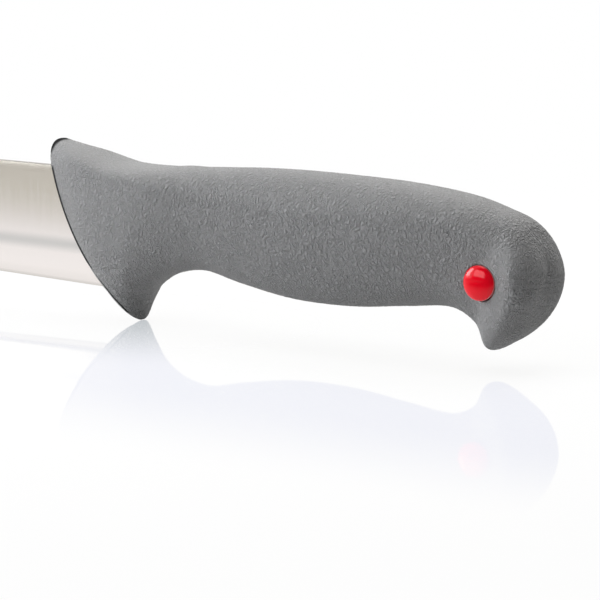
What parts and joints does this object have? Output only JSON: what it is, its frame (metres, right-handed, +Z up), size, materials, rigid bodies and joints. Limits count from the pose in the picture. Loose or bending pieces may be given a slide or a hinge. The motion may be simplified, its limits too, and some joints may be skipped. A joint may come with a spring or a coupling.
{
  "type": "ham knife",
  "caption": "Ham slicing knife: long flat-ground steel blade whose tang is moulded into a grey ergonomic plastic handle with finger guard, palm swell, hooked pommel and a red colour plug.",
  "frame": {"origin": "under the middle of the knife's length, in its middle plane, level with the tip of the finger guard", "axes": "+X from the blade tip to the butt, +Y across the knife, +Z up from the cutting edge to the spine"},
  "size_m": [0.442, 0.0228, 0.0431],
  "materials": {
    "blade_steel": "satin ground",
    "handle_plastic": "leather grain",
    "plug_plastic": "gloss"
  },
  "bodies": {
    "knife": {"blade": "blade_steel", "handle": "handle_plastic"},
    "plug_stud": {"code_plug_stud": "plug_plastic"},
    "plug_socket": {"code_plug_socket": "plug_plastic"}
  },
  "joints": [
    {"name": "stud_pull", "type": "slide", "parent": "knife", "child": "plug_stud", "axis": [0, -1, 0], "range_m": [0, 0.024]},
    {"name": "socket_pull", "type": "slide", "parent": "knife", "child": "plug_socket", "axis": [0, 1, 0], "range_m": [0, 0.024]}
  ]
}
